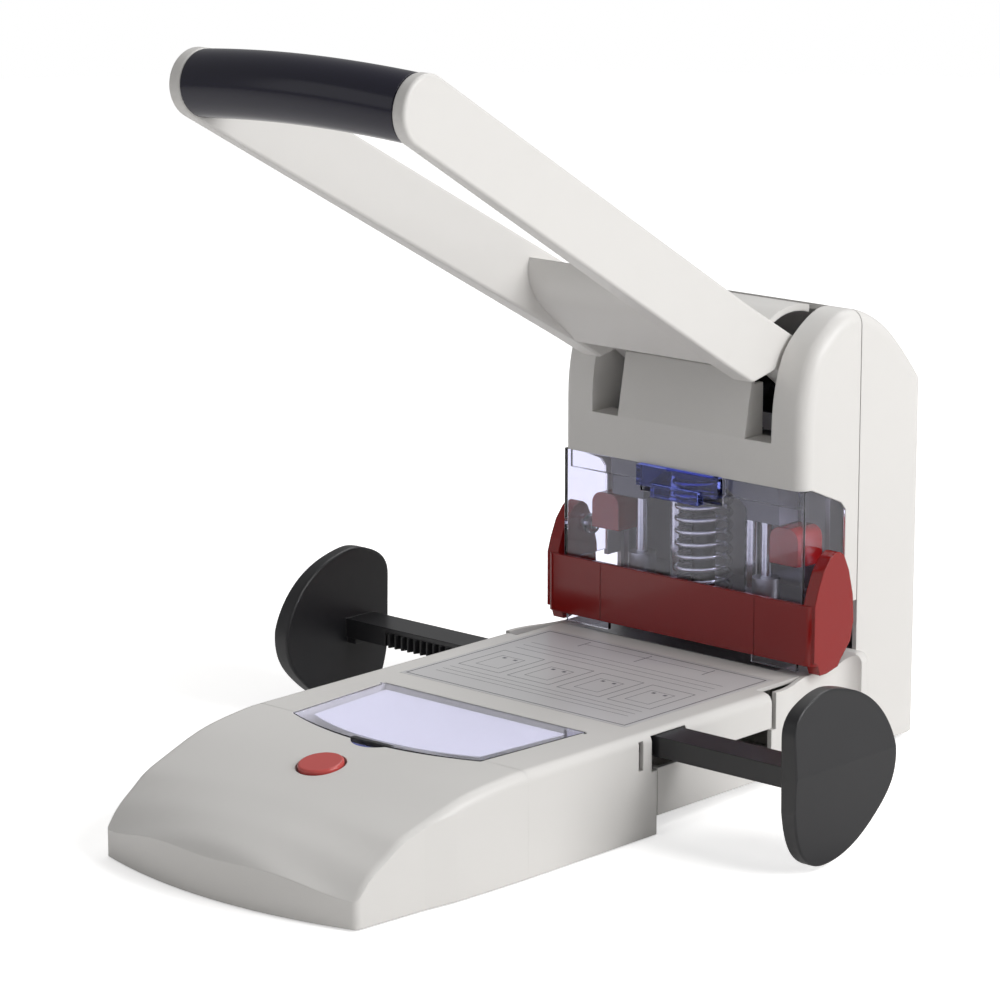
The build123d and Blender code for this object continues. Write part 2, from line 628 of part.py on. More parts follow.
def gauge(side):
    """Bar, rack teeth and paddle in one moulding; the left one is the right one turned half round."""
    bar_y = gauge_bar_y(1)
    z0, z1 = GAUGE_BAR_Z, GAUGE_BAR_Z + GAUGE_BAR_H
    pitch_y = PINION_Y - PINION_R
    pitch = pi * GAUGE_MODULE
    count = int((GAUGE_REACH - 24 + GAUGE_OVERLAP) / pitch) - 1
    root = -GAUGE_OVERLAP
    teeth = rack_teeth(GAUGE_MODULE, count, GAUGE_BAR_H, -1.5 * pitch)
    profile = [(root, bar_y)] + [(root, pitch_y - 1.15 * GAUGE_MODULE)]
    profile += [(x, pitch_y + out) for x, out in teeth]
    profile += [(teeth[-1][0] + 2, pitch_y - 1.15 * GAUGE_MODULE), (teeth[-1][0] + 2, pitch_y),
                (GAUGE_REACH + 1, pitch_y), (GAUGE_REACH + 1, bar_y)]
    piece = slab_z(profile, z0, z1 - GAUGE_FLANGE_T)
    piece += box(root, GAUGE_REACH + 1, bar_y, pitch_y, z1 - GAUGE_FLANGE_T, z1)
    mid_y, mid_z = bar_y + GAUGE_BAR_W / 2, (z0 + z1) / 2
    outline = [(GAUGE_REACH, y, z) for y, z in paddle_outline(mid_y, mid_z)]
    edge = make_face([Spline(*outline), Line(outline[-1], outline[0])])
    paddle = extrude(edge, amount=PADDLE_T, dir=(1, 0, 0))
    # the outer face is two flats that meet in a crease at the top of the bar
    tall = PADDLE_TOP + PADDLE_BOTTOM
    crease_x = GAUGE_REACH + PADDLE_T
    wedge = [(crease_x, z1), (crease_x - PADDLE_CREASE, mid_z + PADDLE_TOP + 2), (crease_x + 5, tall + 20),
             (crease_x + 5, -10), (crease_x - PADDLE_CREASE, mid_z - PADDLE_BOTTOM - 2)]
    face = make_face(Polyline(*[(x, mid_y - 80, z) for x, z in wedge], close=True))
    paddle -= extrude(face, amount=160, dir=(0, 1, 0))
    outer_rim = [e for e in paddle.edges() if e.geom_type != GeomType.LINE and e.center().X > GAUGE_REACH + 2]
    paddle = fillet(outer_rim, PADDLE_OUTER_R)
    inner_rim = [e for e in paddle.edges() if e.length > 60 and e.center().X < GAUGE_REACH + EPS]
    paddle = fillet(inner_rim, PADDLE_INNER_R)
    # foot where the bar joins the paddle
    foot = box(GAUGE_REACH - 6, GAUGE_REACH + 1, bar_y + 1, bar_y + GAUGE_BAR_W - 1, z0 - 3, z0 + 1)
    piece = piece + paddle + foot
    if side > 0:
        return piece
    return Pos(0, PINION_Y, 0) * Rot(0, 0, 180) * Pos(0, -PINION_Y, 0) * piece


def gauge_pinion():
    """Pinion between the two racks."""
    profile = wheel_profile(GAUGE_MODULE, GAUGE_TEETH, 0.0, GAUGE_TEETH)
    top = GAUGE_BAR_Z + GAUGE_BAR_H - GAUGE_FLANGE_T - FIT
    wheel = slab_z([(x, PINION_Y + y) for x, y in profile], GAUGE_BAR_Z + FIT, top)
    wheel -= rod_z(0, PINION_Y, 0, 100, 3.0 + PIN_FIT)
    return wheel - rod_z(0, PINION_Y, GAUGE_BAR_Z + 6, 100, 6.0)


def pinion_screw():
    """Washer-head screw that keeps the pinion on its boss."""
    z = GAUGE_BAR_Z + 6
    return rod_z(0, PINION_Y, z, z + 2.4, 5.6)


# ---------------------------------------------------------------- tower
def tower_block(inset):
    """Solid tower, smaller by the inset all round: an arch with rounded rims and rounded rear corners."""
    y0, y1 = TOWER_Y + inset, REAR_Y - inset
    top = TOWER_TOP - 1.2 * inset
    along = (y1 - y0) / TOWER_DEPTH
    half = TOWER_HALF - inset
    arch = Spline(*[(-half, y0 + along * dy, top - dz) for dy, dz in TOWER_ARCH],
                  tangents=[(0, 0, 1), (0, 1, -1.3)])
    bottom = -EPS if inset else TOWER_BOTTOM
    start, end = arch @ 0, arch @ 1
    rest = Polyline(end, (-half, y1, bottom), (-half, y0, bottom), start)
    side = extrude(make_face([arch, rest]), amount=2 * half, dir=(1, 0, 0))
    rims = [e for e in side.edges() if abs(abs(e.center().X) - half) < 0.01 and e.center().Z > bottom + 1
            and (e.center().Y < y1 - 1)]
    side = fillet(rims, TOWER_EDGE_R - inset)
    plan = box(-half, half, y0 - 5, y1, bottom, TOWER_TOP + 20)
    rear = [e for e in plan.edges().filter_by(Axis.Z) if e.center().Y > y1 - 1]
    return side & fillet(rear, TOWER_REAR_R - inset)


SEAM_Y = TOWER_Y + TOWER_SEAM
PANEL_SLOPE = tan(radians(PANEL_LEAN))


def panel_y(z):
    """Front face of the panel at a height: upright below the slots, leaning back above."""
    return TOWER_Y + max(z - SLOT_BOTTOM, 0.0) * PANEL_SLOPE


def guard_side_outline(grow):
    """Side outline of the guard; the shell's cut-out is the same outline grown by the fit."""
    y0, y1 = TOWER_Y + GUARD_SET, TOWER_Y + GUARD_SET + GUARD_SIDE_LENGTH
    top = GUARD_TOP - FIT + grow
    return [(y0, GUARD_BOTTOM), (y0, top), (y0 + 6, top), (y1 - 3.5 + grow / 2, top - GUARD_DROP),
            (y1 + grow, top - GUARD_DROP - 4), (y1 + grow, GUARD_BOTTOM)]


def tower_front_shell():
    """Front shell: two cheeks, the leaning panel with its lever slots, and the throat roof."""
    shell = tower_block(0.0) - tower_block(WALL)
    keep = box(-100, 100, TOWER_Y - 10, SEAM_Y - SEAM / 2, THROAT_TOP, 300)
    shell = shell & keep
    shell -= box(-CHEEK_INNER, CHEEK_INNER, TOWER_Y - 10, SEAM_Y + 1, 0, 300)
    cut = guard_side_outline(FIT)
    cut = [(TOWER_Y - 20, 0), (TOWER_Y - 20, cut[1][1])] + cut[2:5] + [(cut[5][0], 0)]
    shell -= slab_x(cut, -100, 100)
    cheek = box(CHEEK_INNER, CHEEK_INNER + WALL, TOWER_Y, SEAM_Y - SEAM / 2, GUARD_TOP, 300) & tower_block(0.0)
    cheek = cheek + mirrored(cheek)
    face = [(panel_y(z), z) for z in (GUARD_TOP, SLOT_BOTTOM, PANEL_TOP)]
    back = [(y + WALL, z) for y, z in reversed(face)]
    plate = slab_x(face + back, -CHEEK_INNER - WALL, CHEEK_INNER + WALL)
    brow = [e for e in plate.edges().filter_by(Axis.X) if e.center().Z > PANEL_TOP - 0.1]
    plate = fillet(brow, WALL * 0.4)
    # the cheek walls are open where the tie brackets pass
    cheek_gap = box(-FRAME_X, FRAME_X, PUNCH_Y + ROD_BACK - 8 - FIT, PUNCH_Y + ROD_BACK + 8 + FIT,
                    ROD_TOP - 4 - FIT, ROD_TOP + FIT)
    cheek -= cheek_gap
    for side in (1, -1):
        slot = box(SLOT_INNER, CHEEK_INNER, TOWER_Y - 5, TOWER_Y + 20, SLOT_BOTTOM, 300)
        floor = box(SLOT_INNER - WALL, CHEEK_INNER + 1, TOWER_Y + WALL - 1, TOWER_Y + SLOT_DEEP,
                    SLOT_BOTTOM - WALL, SLOT_BOTTOM)
        wall_top = SLOT_BOTTOM + 0.8 * (PANEL_TOP - SLOT_BOTTOM)
        wall = slab_x([(TOWER_Y + WALL - 1, SLOT_BOTTOM - WALL), (panel_y(wall_top) + 1, wall_top),
                       (TOWER_Y + SLOT_DEEP, wall_top), (TOWER_Y + SLOT_DEEP, SLOT_BOTTOM - WALL)],
                      SLOT_INNER - WALL, SLOT_INNER)
        lining = floor + wall
        plate += lining if side > 0 else mirrored(lining)
        plate -= slot if side > 0 else mirrored(slot)
    return shell + cheek + plate


def tower_rear_shell():
    """Rear shell down to the desk side, with the far edge of the paper opening."""
    shell = tower_block(0.0) - tower_block(WALL)
    shell = shell & box(-100, 100, SEAM_Y + SEAM / 2, REAR_Y + 10, 0, 300)
    for x, z in shell_screw_places():
        shell += rod_y(x, REAR_Y - WALL - SCREW_SINK, REAR_Y - 1, z, SCREW_R + WALL)
        shell -= rod_y(x, REAR_Y - SCREW_SINK, REAR_Y + 5, z, SCREW_R + FIT)
    return shell


def side_frame(side):
    """Steel frame: upright behind the throat, reaching forward inside a cheek."""
    y_rear = REAR_Y - 9
    y_throat = SEAM_Y + 3
    y_guard = TOWER_Y + GUARD_SET + GUARD_SIDE_LENGTH + 2
    outline = [(y_throat, PLATE_Z + PLATE_T), (y_rear, PLATE_Z + PLATE_T), (y_rear, 176.0),
               (y_rear - 14, 198.0), (TOWER_Y + 24, 198.0), (TOWER_Y + 18, 190.0), (TOWER_Y + 18, 146.0),
               (y_guard, 138.0), (y_guard, STRIPPER_Z), (y_throat, STRIPPER_Z)]
    frame = slab_x(outline, FRAME_X, FRAME_X + FRAME_T)
    frame -= rod_x(FRAME_X - 1, FRAME_X + FRAME_T + 1, PIVOT_Y, PIVOT_Z, SHAFT_R + 2.0)
    return frame if side > 0 else mirrored(frame)


def shaft_bush(side):
    """Flanged bush in a side frame."""
    bush = rod_x(FRAME_X - 5, FRAME_X - FIT / 2, PIVOT_Y, PIVOT_Z, BUSH_FLANGE_R)
    bush += rod_x(FRAME_X - 1, FRAME_X + FRAME_T + 1, PIVOT_Y, PIVOT_Z, SHAFT_R + 2.0 - 0.02)
    bush -= rod_x(FRAME_X - 6, FRAME_X + 10, PIVOT_Y, PIVOT_Z, SHAFT_R + PIN_FIT)
    return bush if side > 0 else mirrored(bush)


def tie_brackets():
    """Two brackets from the frames that hold the tops of the guide rods."""
    pieces = []
    bracket = box(ROD_X - 7, FRAME_X, PUNCH_Y + ROD_BACK - 8, PUNCH_Y + ROD_BACK + 8, ROD_TOP - 4, ROD_TOP)
    bracket -= rod_z(ROD_X, PUNCH_Y + ROD_BACK, 0, 300, ROD_R + 0.02)
    for piece in (bracket, mirrored(bracket)):
        pieces.append(piece)
    return pieces


def stripper_plate():
    """Plate over the throat, with a tall guide for each punch and the seat of the spring."""
    y0, y1 = PUNCH_Y - 11, PUNCH_Y + 11
    y_frame = SEAM_Y + 3
    plate = box(-PUNCH_PITCH / 2 - GUIDE_BOSS_R - 1, PUNCH_PITCH / 2 + GUIDE_BOSS_R + 1, y0, y1 + 1,
                STRIPPER_Z, STRIPPER_Z + STRIPPER_T)
    plate += box(-FRAME_X, FRAME_X, y1 + 1 - EPS, y_frame + 8, STRIPPER_Z, STRIPPER_Z + STRIPPER_T)
    for x in (-PUNCH_PITCH / 2, PUNCH_PITCH / 2):
        plate += rod_z(x, PUNCH_Y, STRIPPER_Z, STRIPPER_Z + STRIPPER_T + GUIDE_BOSS_H, GUIDE_BOSS_R)
        plate -= rod_z(x, PUNCH_Y, 0, 200, PUNCH_R + PIN_FIT)
    for x in (-ROD_X, ROD_X):
        plate -= rod_z(x, PUNCH_Y + ROD_BACK, 0, 200, ROD_R + 0.02)
    return plate


def guide_rods():
    """Two rods that the crosshead slides on."""
    return [rod_z(x, PUNCH_Y + ROD_BACK, STRIPPER_Z, ROD_TOP + 2, ROD_R) for x in (-ROD_X, ROD_X)]


def spring_post():
    """Post inside the return spring."""
    return rod_z(0, PUNCH_Y, STRIPPER_Z + STRIPPER_T, HUB_Z - STROKE + POST_ENTRY, POST_R)


def anvil():
    """Die plate in the table, with a hole under each punch."""
    y0, y1 = TOWER_Y + FIT, SEAM_Y + 3
    plate = box(-SHOULDER_IN + FIT, SHOULDER_IN - FIT, y0, y1 - SEAM, TABLE_Z - DIE_T, TABLE_Z)
    for x in (-PUNCH_PITCH / 2, PUNCH_PITCH / 2):
        plate -= rod_z(x, PUNCH_Y, 0, 100, PUNCH_R + PIN_FIT)
        plate -= rod_z(x, PUNCH_Y, 0, TABLE_Z - 3, PUNCH_R + 1)
    return plate


def back_stop():
    """Upright plate that the paper is pushed against."""
    y = PUNCH_Y + 12
    return box(-FRAME_X + 2, FRAME_X - 2, y, y + 2, TABLE_Z, STRIPPER_Z)


# ---------------------------------------------------------------- punching gear
HUB_Z = STRIPPER_Z + STRIPPER_T + SPRING_LENGTH
STROKE = SECTOR_R * radians(LEVER_TRAVEL)
PUNCH_TIP = TABLE_Z - DIE_ENTRY + STROKE
PUNCH_TOP = HUB_Z + 2.0


def crosshead():
    """Cast crosshead: hub on the spring, two arms to the punches and the rack that drives it."""
    hub = rod_z(0, PUNCH_Y, HUB_Z, HUB_Z + HUB_H, HUB_R)
    arm_low = HUB_Z + HUB_H - 2 - ARM_H
    y0, y1 = PUNCH_Y - ARM_DEPTH_Y / 2, PUNCH_Y + ARM_DEPTH_Y / 2
    low = arm_low - PUNCH_BLOCK_DROP
    outline = [(0, HUB_Z), (0, HUB_Z + HUB_H), (HUB_R + 8, HUB_Z + HUB_H), (CLIP_IN + 5, arm_low + ARM_H - 8),
               (CLIP_IN + 5, low), (PUNCH_PITCH / 2 - 7, low), (PUNCH_PITCH / 2 - 7, low + 6),
               (HUB_R + 4, arm_low), (HUB_R + 1, HUB_Z)]
    face = make_face(Polyline(*[(x, y0, z) for x, z in outline], close=True))
    arm = extrude(face, amount=ARM_DEPTH_Y, dir=(0, 1, 0))
    lug = rod_z(ROD_X, PUNCH_Y + ROD_BACK, arm_low, HUB_Z + HUB_H, ROD_R + 3)
    arm = arm + lug
    arm -= rod_z(PUNCH_PITCH / 2, PUNCH_Y, 0, 300, PUNCH_R + PIN_FIT)
    arm -= rod_z(ROD_X, PUNCH_Y + ROD_BACK, 0, 300, ROD_R + PIN_FIT)
    body = hub + arm + mirrored(arm)
    body -= rod_z(0, PUNCH_Y, 0, HUB_Z + POST_ENTRY + 3, POST_R + PIN_FIT)
    # rack: a gap of the rack faces the middle of a sector tooth at rest
    pitch = pi * SECTOR_MODULE
    count = int(STROKE / pitch) + 4
    pitch_y = PUNCH_Y - RACK_AHEAD
    first = PIVOT_Z - 2.5 * pitch
    teeth = rack_teeth(SECTOR_MODULE, count + 1, SECTOR_T, first)
    back = pitch_y - 1.15 * SECTOR_MODULE - RACK_BODY
    foot = HUB_Z + POST_ENTRY + 4
    profile = [(back, foot), (pitch_y - 1.15 * SECTOR_MODULE, foot)]
    profile += [(pitch_y + out, z) for z, out in teeth]
    top_z = teeth[-1][0] + 1
    profile += [(pitch_y - 1.15 * SECTOR_MODULE, top_z), (back, top_z)]
    rack = slab_x(profile, -SECTOR_T / 2, SECTOR_T / 2)
    return body + rack


def punch(side):
    """Solid punch with a shallow V ground into its tip and a collar at the top."""
    x = side * PUNCH_PITCH / 2
    body = rod_z(x, PUNCH_Y, PUNCH_TIP, PUNCH_TOP + 10, PUNCH_R)
    vee = slab_x([(PUNCH_Y - 4, PUNCH_TIP - 1), (PUNCH_Y, PUNCH_TIP + 1.2), (PUNCH_Y + 4, PUNCH_TIP - 1)],
                 x - 5, x + 5)
    return body - vee


def punch_clip(side):
    """Red clip at the outer end of the crosshead that locks a punch."""
    top = HUB_Z + HUB_H - 2 - ARM_H - PUNCH_BLOCK_DROP - FIT
    low = top - CLIP_H
    y0, y1 = PUNCH_Y - CLIP_W / 2, PUNCH_Y + CLIP_W / 2
    clip = box(CLIP_IN, CLIP_OUT, y0, y1, low, top)
    rounds = [e for e in clip.edges().filter_by(Axis.Y) if e.center().Z > top - 1]
    clip = fillet(rounds, 6)
    return clip if side > 0 else mirrored(clip)


def return_spring():
    """Compression spring under the hub: one helical tube of half-turn arcs."""
    z0 = STRIPPER_Z + STRIPPER_T + SPRING_WIRE_R + 0.1
    climb = SPRING_LENGTH - 2 * SPRING_WIRE_R - 0.2
    path = Helix(pitch=climb / SPRING_TURNS, height=climb, radius=SPRING_R)
    path = Pos(0, PUNCH_Y, z0) * path
    start = path @ 0
    section = Plane(origin=start, z_dir=path % 0) * Circle(SPRING_WIRE_R)
    gap = climb / SPRING_TURNS - 2 * SPRING_WIRE_R
    print("return spring: least gap between curls %.2f mm" % gap)
    return sweep(section, path=path)


# ---------------------------------------------------------------- lever
def uv(u, v):
    """A (y, z) point from lever coordinates."""
    c, s = cos(radians(LEVER_REST)), sin(radians(LEVER_REST))
    return (PIVOT_Y - u * c + v * s, PIVOT_Z + u * s + v * c)


def lever_arm():
    """Right arm: straight root, then splayed and tapered to a rounded front end."""
    tip = LEVER_LENGTH + ARM_DEPTH / 2
    half = ARM_DEPTH / 2
    plan = [(-20, ARM_OUT_ROOT - ARM_T_ROOT), (ARM_STRAIGHT, ARM_OUT_ROOT - ARM_T_ROOT),
            (tip + 1, ARM_OUT_FRONT - ARM_T_FRONT), (tip + 1, ARM_OUT_FRONT), (ARM_STRAIGHT, ARM_OUT_ROOT),
            (-20, ARM_OUT_ROOT)]
    side = Plane(origin=(0, PIVOT_Y, PIVOT_Z), x_dir=(0, -cos(radians(LEVER_REST)), sin(radians(LEVER_REST))),
                 z_dir=(0, sin(radians(LEVER_REST)), cos(radians(LEVER_REST))))
    # in this plane x is u and y points to one side of the machine
    sign = 1 if side.y_dir.X > 0 else -1
    face = make_face(side * Polyline(*[(u, sign * x) for u, x in plan], close=True))
    wide = extrude(face, amount=ARM_DEPTH + 20, both=True)
    notch_end = PIVOT_Y - (TOWER_Y + 5) + 4
    outline = [uv(0, half - 1), uv(LEVER_LENGTH, half), uv(LEVER_LENGTH, -half), uv(notch_end + 14, -half),
               uv(notch_end, -half + ARM_NOTCH), uv(0, -half + ARM_NOTCH / 2)]
    shape = slab_x(outline, 20, 90)
    y, z = uv(LEVER_LENGTH, 0)
    shape += rod_x(20, 90, y, z, half)
    shape += rod_x(20, 90, PIVOT_Y, PIVOT_Z, half)
    arm = wide & shape
    long_edges = [e for e in arm.edges() if e.length > 150]
    return soften(arm, long_edges, ARM_EDGE_R)


def web_slab(runs):
    """The web's outline: smooth runs of (y, z) points joined by straight ones, extruded across."""
    edges = []
    for run, following in zip(runs, runs[1:] + runs[:1]):
        points = [(-HOOD_HALF, y, z) for y, z in run]
        edges.append(Spline(*points) if len(points) > 2 else Line(*points))
        edges.append(Line(points[-1], (-HOOD_HALF,) + following[0]))
    return extrude(make_face(edges), amount=2 * HOOD_HALF, dir=(1, 0, 0))


def lever():
    """Lever body: two arms joined by a scooped web and a hood over the pivot."""
    arms = lever_arm()
    arms = arms + mirrored(arms)
    half = ARM_DEPTH / 2
    front = [uv(140, 8.3), uv(134, -3.0), uv(128, -7.2), uv(121.5, -9.6), uv(110, -12.4), uv(91, -half)]
    under = [uv(89.5, -half + HOOD_T), uv(110, -12.4 + HOOD_T), uv(119, -9.6 + HOOD_T), uv(126, -5.0),
             uv(132, -0.5), uv(134, 5.0)]
    hood_under = [uv(83, 8.2), uv(64.7, 12.3), uv(57.4, 21.6), uv(47.7, 28.8), uv(37.1, 32.4)]
    hood_top = [uv(39, 35.9), uv(49.4, 31.8), uv(59.1, 24.6), uv(66.5, 15.3), uv(84.8, 11.3)]
    web = web_slab([front, under[:4], under[4:], hood_under, hood_top])
    body = arms + web
    shaft = rod_x(-90, 90, PIVOT_Y, PIVOT_Z, SHAFT_R + 0.02)
    y, z = uv(LEVER_LENGTH, 0)
    bolt = rod_x(-(ARM_OUT_FRONT - 3), ARM_OUT_FRONT - 3, y, z, GRIP_ROD_R + 0.02)
    return body - shaft - bolt


def lever_grip():
    """Dark bowed grip between the arms."""
    inner = ARM_OUT_FRONT - ARM_T_FRONT
    y0, z0 = uv(LEVER_LENGTH, 0)
    y1, z1 = uv(LEVER_LENGTH + GRIP_BOW_U, GRIP_BOW_V)
    path = ThreePointArc((-inner - 4, y0, z0), (0, y1, z1), (inner + 4, y0, z0))
    section = Plane(origin=path @ 0, z_dir=path % 0) * Circle(GRIP_R)
    grip = sweep(section, path=path)
    # the ends are cut to the inner faces of the arms
    slope = (ARM_OUT_FRONT - ARM_T_FRONT - ARM_OUT_ROOT + ARM_T_ROOT) / (
        LEVER_LENGTH + ARM_DEPTH / 2 + 1 - ARM_STRAIGHT)
    lean = degrees(atan2(slope, 1))
    u_dir = Vector(0, -cos(radians(LEVER_REST)), sin(radians(LEVER_REST)))
    v_dir = Vector(0, sin(radians(LEVER_REST)), cos(radians(LEVER_REST)))
    at_grip = inner - slope * (ARM_DEPTH / 2 + 1)
    for side in (1, -1):
        normal = Vector(side * cos(radians(lean)), 0, 0) - u_dir * sin(radians(lean))
        origin = Vector(side * (at_grip - 0.1), y0, z0)
        grip = split(grip, bisect_by=Plane(origin=origin, z_dir=normal, x_dir=v_dir), keep=Keep.BOTTOM)
    return grip - rod_x(-90, 90, y0, z0, GRIP_ROD_R + 0.02)


def grip_rod():
    """Steel rod through the grip, let into the arms."""
    y, z = uv(LEVER_LENGTH, 0)
    return rod_x(-(ARM_OUT_FRONT - 3.2), ARM_OUT_FRONT - 3.2, y, z, GRIP_ROD_R)


def pivot_shaft():
    """Steel shaft that turns with the lever in the two bushes."""
    return rod_x(-SHAFT_HALF, SHAFT_HALF, PIVOT_Y, PIVOT_Z, SHAFT_R)


def gear_sector():
    """Toothed sector on the shaft that drives the crosshead's rack."""
    pitch = 360.0 / SECTOR_TEETH_ROUND
    count = ceil(LEVER_TRAVEL / pitch) + 3
    first = 180.0 - (count - 2) * pitch
    profile = wheel_profile(SECTOR_MODULE, SECTOR_TEETH_ROUND, first, count)
    outline = [(PIVOT_Y + y, PIVOT_Z + z) for y, z in profile]
    outline += [(PIVOT_Y - 9, PIVOT_Z - 13), (PIVOT_Y + 12, PIVOT_Z - 6), (PIVOT_Y + 10, PIVOT_Z + 12)]
    sector = slab_x(outline, -SECTOR_T / 2 + 0.5, SECTOR_T / 2 - 0.5)
    sector += rod_x(-14, 14, PIVOT_Y, PIVOT_Z, SHAFT_R + 5)
    return sector - rod_x(-90, 90, PIVOT_Y, PIVOT_Z, SHAFT_R + 0.02)


def shaft_nuts():
    """Retaining nuts on the ends of the shaft."""
    pieces = []
    for side in (1, -1):
        nut = rod_x(FRAME_X + FRAME_T + 1.3, FRAME_X + FRAME_T + 4, PIVOT_Y, PIVOT_Z, SHAFT_R + 3)
        nut -= rod_x(0, 90, PIVOT_Y, PIVOT_Z, SHAFT_R + 0.02)
        pieces.append(nut if side > 0 else mirrored(nut))
    return pieces


# ---------------------------------------------------------------- guard and hold-down bar
def guard():
    """Clear guard: front wall with a thick lip, and two side walls."""
    y0 = TOWER_Y + GUARD_SET
    side = slab_x(guard_side_outline(0.0), TOWER_HALF - GUARD_T, TOWER_HALF)
    top = GUARD_TOP - FIT
    front = box(-TOWER_HALF, TOWER_HALF, y0, y0 + GUARD_T, GUARD_BOTTOM, top)
    lip = box(-TOWER_HALF + 4, TOWER_HALF - 4, y0, y0 + 2.2 * GUARD_T, top - GUARD_LIP, top)
    shell = front + lip + side + mirrored(side)
    corners = [e for e in shell.edges().filter_by(Axis.Z) if e.center().Y < y0 + 0.5 and e.length > 20
               and abs(e.center().X) > TOWER_HALF - 1]
    shell = soften(shell, corners, 1.6)
    shell -= box(-LATCH_HALF - FIT, LATCH_HALF + FIT, y0 - 5, y0 + 20, top - LATCH_H - LATCH_TRAVEL - 1, top + 5)
    pin = rod_x(TOWER_HALF - 8, TOWER_HALF + 8, TOWER_Y + BAR_PIVOT_BACK, BAR_PIVOT_Z, 2.5 + 0.02)
    boss = rod_x(TOWER_HALF - 5, TOWER_HALF - GUARD_T + EPS, TOWER_Y + BAR_PIVOT_BACK, BAR_PIVOT_Z, 5)
    shell += boss + mirrored(boss)
    return shell - pin - mirrored(pin)


def guard_latch():
    """Tinted latch tab with a finger lip, let into the lip of the guard."""
    y0 = TOWER_Y + GUARD_SET
    top = GUARD_TOP - FIT
    tab = box(-LATCH_HALF, LATCH_HALF, y0 - LATCH_DEEP, y0 + 1.3 * GUARD_T, top - LATCH_H, top - 0.2)
    lip = box(-LATCH_LIP_HALF, LATCH_LIP_HALF, y0 - LATCH_DEEP - 2, y0 - 1, top - LATCH_H - 4.5, top - LATCH_H + 2)
    return tab + lip


def hold_down_bar():
    """Red bar across the throat with an egg-shaped plate at each end."""
    y0 = TOWER_Y - BAR_AHEAD
    outer = box(-BAR_HALF, BAR_HALF, y0, y0 + 3 * BAR_CORNER_R, BAR_BOTTOM, BAR_TOP)
    corners = [e for e in outer.edges().filter_by(Axis.Z) if e.center().Y < y0 + 1]
    outer = fillet(corners, BAR_CORNER_R)
    front = outer & box(-BAR_HALF, BAR_HALF, y0, y0 + BAR_RETURN, 0, BAR_TOP)
    front -= box(-BAR_HALF + END_PLATE_T, BAR_HALF - END_PLATE_T, y0 + BAR_T, y0 + 40, 0, 200)
    y_top, y_rear = TOWER_Y + BAR_PIVOT_BACK - 3, TOWER_Y + BAR_PIVOT_BACK + 10
    outline = [(y0 + 4, BAR_BOTTOM + 1), (y0 + 6, END_PLATE_FOOT), (TOWER_Y + 9, END_PLATE_FOOT),
               (TOWER_Y + 18, END_PLATE_FOOT + 2), (TOWER_Y + 20, END_PLATE_FOOT + 5),
               (TOWER_Y + 27.5, 65.0), (y_rear, 75.0), (TOWER_Y + 29, 88.0), (TOWER_Y + 25.5, 101.0),
               (TOWER_Y + 21.5, 109.0), (y_top, END_PLATE_TOP), (TOWER_Y + 11, 109.5), (TOWER_Y + 5.5, 103.0),
               (TOWER_Y + 1.5, 94.0), (y0 + 1.2, BAR_TOP), (y0 + 1.2, BAR_BOTTOM + 2)]
    plate = slab_x(outline, BAR_HALF - END_PLATE_T, BAR_HALF)
    turns = [e for e in plate.edges().filter_by(Axis.X) if e.center().Y > TOWER_Y + 3 and e.center().Z > 60]
    plate = fillet(turns, 4.0)
    bar = front + plate + mirrored(plate)
    for x in (-BAR_SEAM_X, BAR_SEAM_X):
        bar -= box(x - BAR_SEAM_W / 2, x + BAR_SEAM_W / 2, y0 - 1, y0 + 0.4, BAR_BOTTOM - 1, BAR_TOP + 1)
    pin = rod_x(TOWER_HALF, BAR_HALF - 2.5, TOWER_Y + BAR_PIVOT_BACK, BAR_PIVOT_Z, 2.5 + PIN_FIT)
    return bar - pin - mirrored(pin)


def hold_down_pads():
    """Two clear pads behind the bar that press on the paper."""
    y0 = TOWER_Y - BAR_AHEAD + BAR_T
    pad = box(PAD_IN, PAD_OUT, y0, y0 + 2.0, END_PLATE_FOOT + 0.6, 72.0)
    return [pad, mirrored(pad)]


def hold_down_pins():
    """Pins that carry the bar on the guard."""
    pin = rod_x(TOWER_HALF - 5, BAR_HALF - 3, TOWER_Y + BAR_PIVOT_BACK, BAR_PIVOT_Z, 2.5)
    return [pin, mirrored(pin)]


# ---------------------------------------------------------------- fasteners
def screw(radius, height):
    """Domed screw head with a hex socket, its seat on z = 0."""
    head = Cylinder(radius, height, align=(Align.CENTER, Align.CENTER, Align.MIN))
    head = fillet(head.edges().sort_by(Axis.Z)[-1], height * 0.45)
    socket = extrude(RegularPolygon(radius * 0.5, 6), amount=height)
    return head - Pos(0, 0, height * 0.4) * socket


def base_screws():
    """Screws up through the base plate."""
    places = pillar_places() + [(x, TOWER_Y + BASE_SCREW_BACK) for x in (-PILLAR_X, PILLAR_X)]
    return [Pos(x, y, PLATE_Z) * Rot(180, 0, 0) * screw(BASE_SCREW_R, BASE_SCREW_H) for x, y in places]


def shell_screw_places():
    """Screws of the rear shell, in x and z."""
    return [(x, z) for x in (-SHELL_SCREW_X, SHELL_SCREW_X)
            for z in (SHELL_SCREW_LOW, SHELL_SCREW_HIGH)]


def shell_screws():
    """Screws that hold the rear shell, sunk in its rear wall."""
    return [Pos(x, REAR_Y - SCREW_SINK, z) * Rot(-90, 0, 0) * screw(SCREW_R, SCREW_H)
            for x, z in shell_screw_places()]


